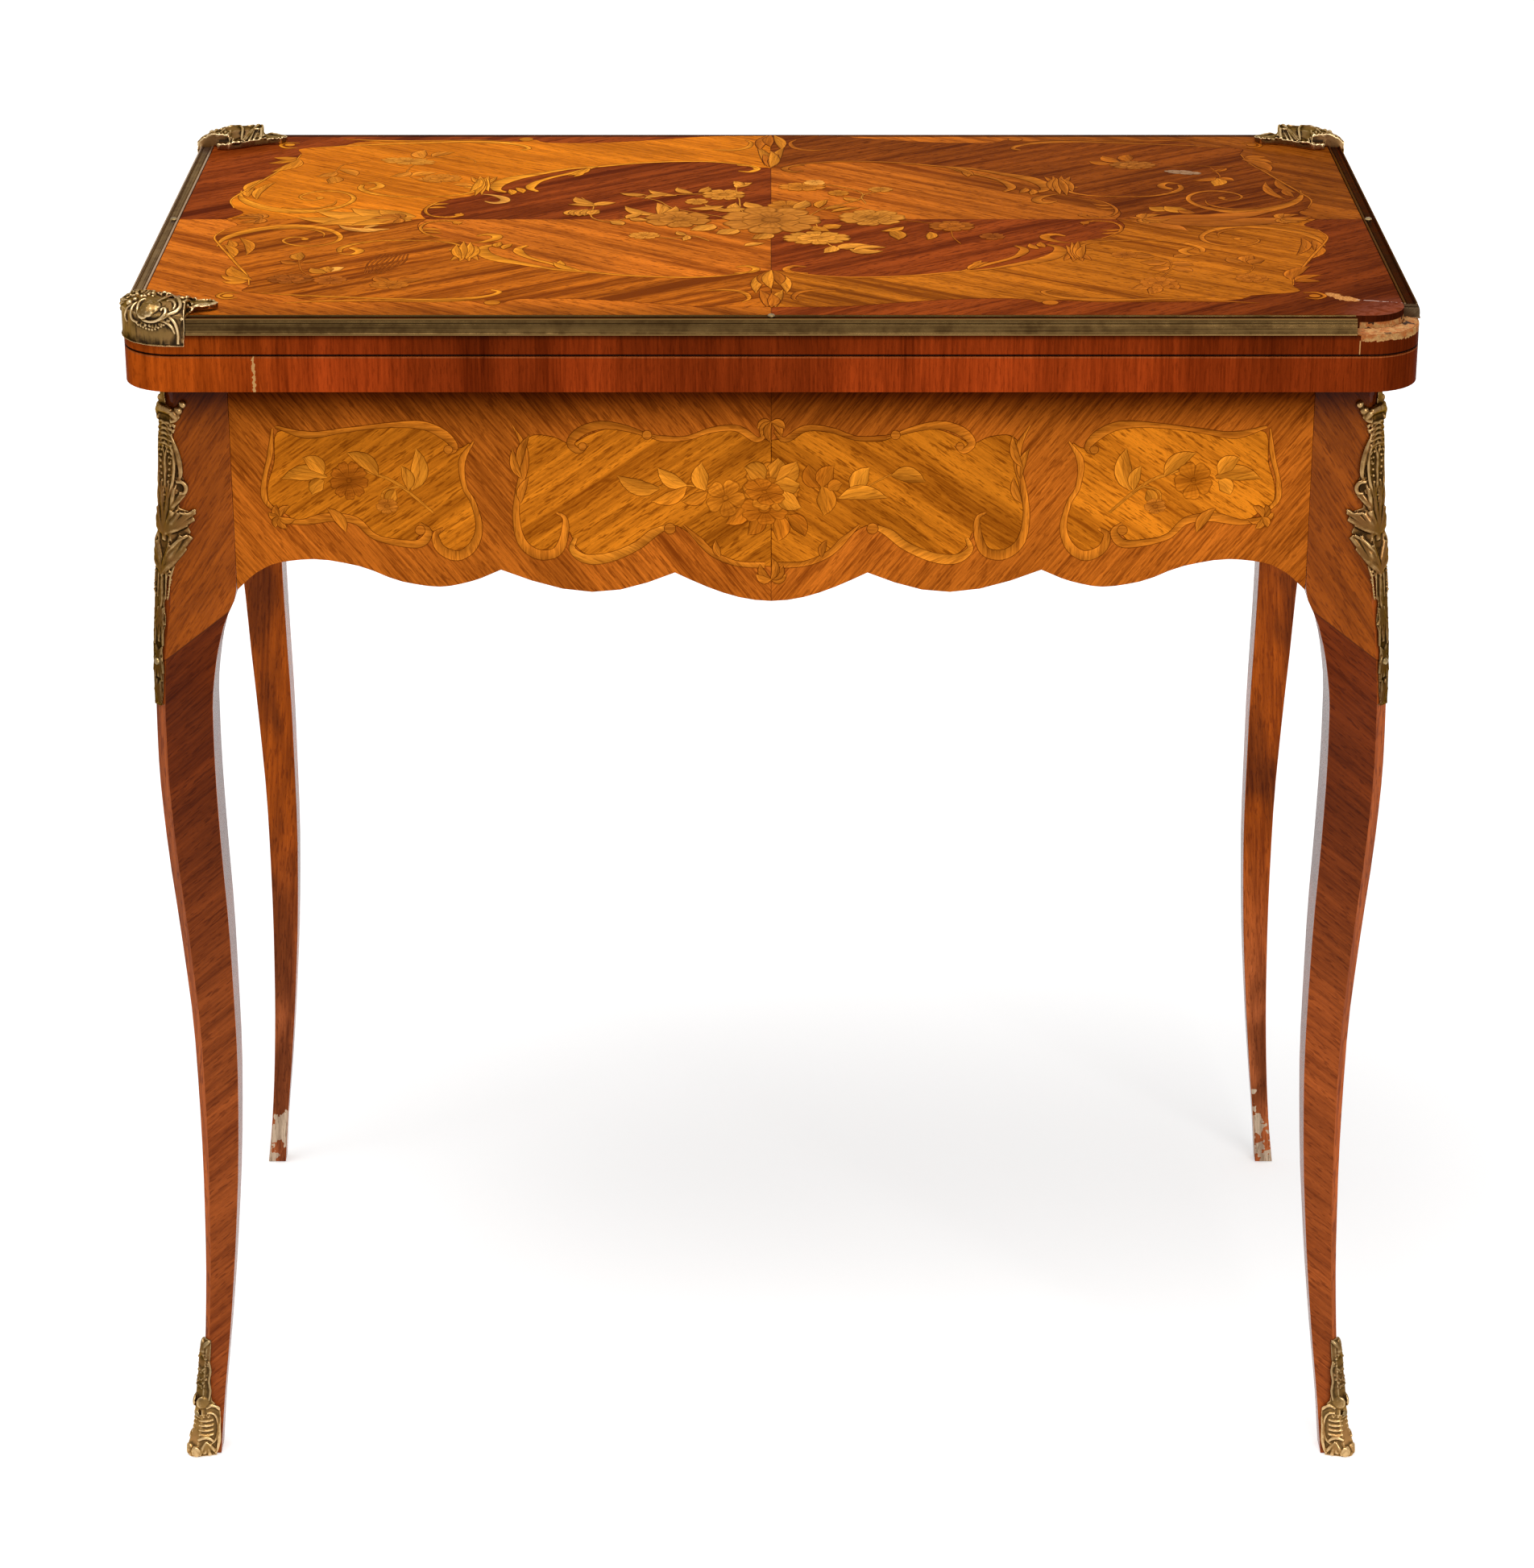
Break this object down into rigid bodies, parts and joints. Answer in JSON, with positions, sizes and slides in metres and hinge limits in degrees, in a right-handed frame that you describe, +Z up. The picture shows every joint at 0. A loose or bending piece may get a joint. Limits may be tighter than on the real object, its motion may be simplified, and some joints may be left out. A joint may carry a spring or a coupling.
{
  "type": "games table",
  "caption": "Games table with a swivelling, folding two-leaf top lined with baize, on a framed stand with cabriole legs and bronze mounts",
  "frame": {"origin": "on the floor, under the middle of the table's overall box", "axes": "+Z up, +Y towards the back (the hinged edge of the leaves), +X to the right seen from the front"},
  "size_m": [0.7596, 0.4451, 0.7675],
  "materials": {
    "veneer": "polished golden brown veneer",
    "marquetry": "polished quarter-matched veneer with floral marquetry",
    "red_veneer": "polished red-brown veneer",
    "carcass": "unpolished secondary wood",
    "bronze": "aged gilt bronze",
    "brass": "worn brass",
    "steel": "dark iron",
    "baize": "green wool baize"
  },
  "bodies": {
    "stand": {"leg_front_left": "veneer", "leg_front_right": "veneer", "leg_rear_left": "veneer", "leg_rear_right": "veneer", "apron_front": "veneer", "apron_rear": "veneer", "apron_left": "veneer", "apron_right": "veneer", "batten_front": "carcass", "batten_rear": "carcass", "batten_divider": "carcass", "batten_right": "carcass", "pivot_rail": "carcass", "well_divider": "carcass", "well_floor": "carcass", "chute_left": "bronze", "chute_right": "bronze", "chute_pin_left": "bronze", "chute_pin_right": "bronze", "sabot_left": "bronze", "sabot_right": "bronze", "sabot_pin_left": "bronze", "sabot_pin_right": "bronze"},
    "lower_top": {"lower_leaf": "red_veneer", "baize_lower": "baize", "pivot_plate": "steel", "pivot_bolt": "steel", "pivot_washer": "steel", "pivot_nut": "steel", "pivot_screw_1": "steel", "pivot_screw_2": "steel", "pivot_screw_3": "steel", "pivot_screw_4": "steel", "stop_peg": "carcass", "hinge_lower_left": "brass", "hinge_lower_right": "brass", "hinge_pin_left": "brass", "hinge_pin_right": "brass", "hinge_lower_left_screw_1": "brass", "hinge_lower_left_screw_2": "brass", "hinge_lower_right_screw_1": "brass", "hinge_lower_right_screw_2": "brass"},
    "upper_top": {"upper_leaf": "marquetry", "baize_upper": "baize", "strip_front": "bronze", "strip_left": "bronze", "strip_right": "bronze", "strip_screw_front": "bronze", "strip_screw_left": "bronze", "strip_screw_right": "bronze", "mount_front_left": "bronze", "mount_rear_left": "bronze", "mount_rear_right": "bronze", "hinge_upper_left": "brass", "hinge_upper_right": "brass", "hinge_upper_left_screw_1": "brass", "hinge_upper_left_screw_2": "brass", "hinge_upper_right_screw_1": "brass", "hinge_upper_right_screw_2": "brass"}
  },
  "joints": [
    {"name": "top_swivel", "type": "hinge", "parent": "stand", "child": "lower_top", "pos_m": [-0.11, 0.11, 0.7144], "axis": [0, 0, -1], "range_deg": [0, 90]},
    {"name": "top_fold", "type": "hinge", "parent": "lower_top", "child": "upper_top", "pos_m": [0, 0.2205, 0.73635], "axis": [-1, 0, 0], "range_deg": [0, 180]}
  ]
}
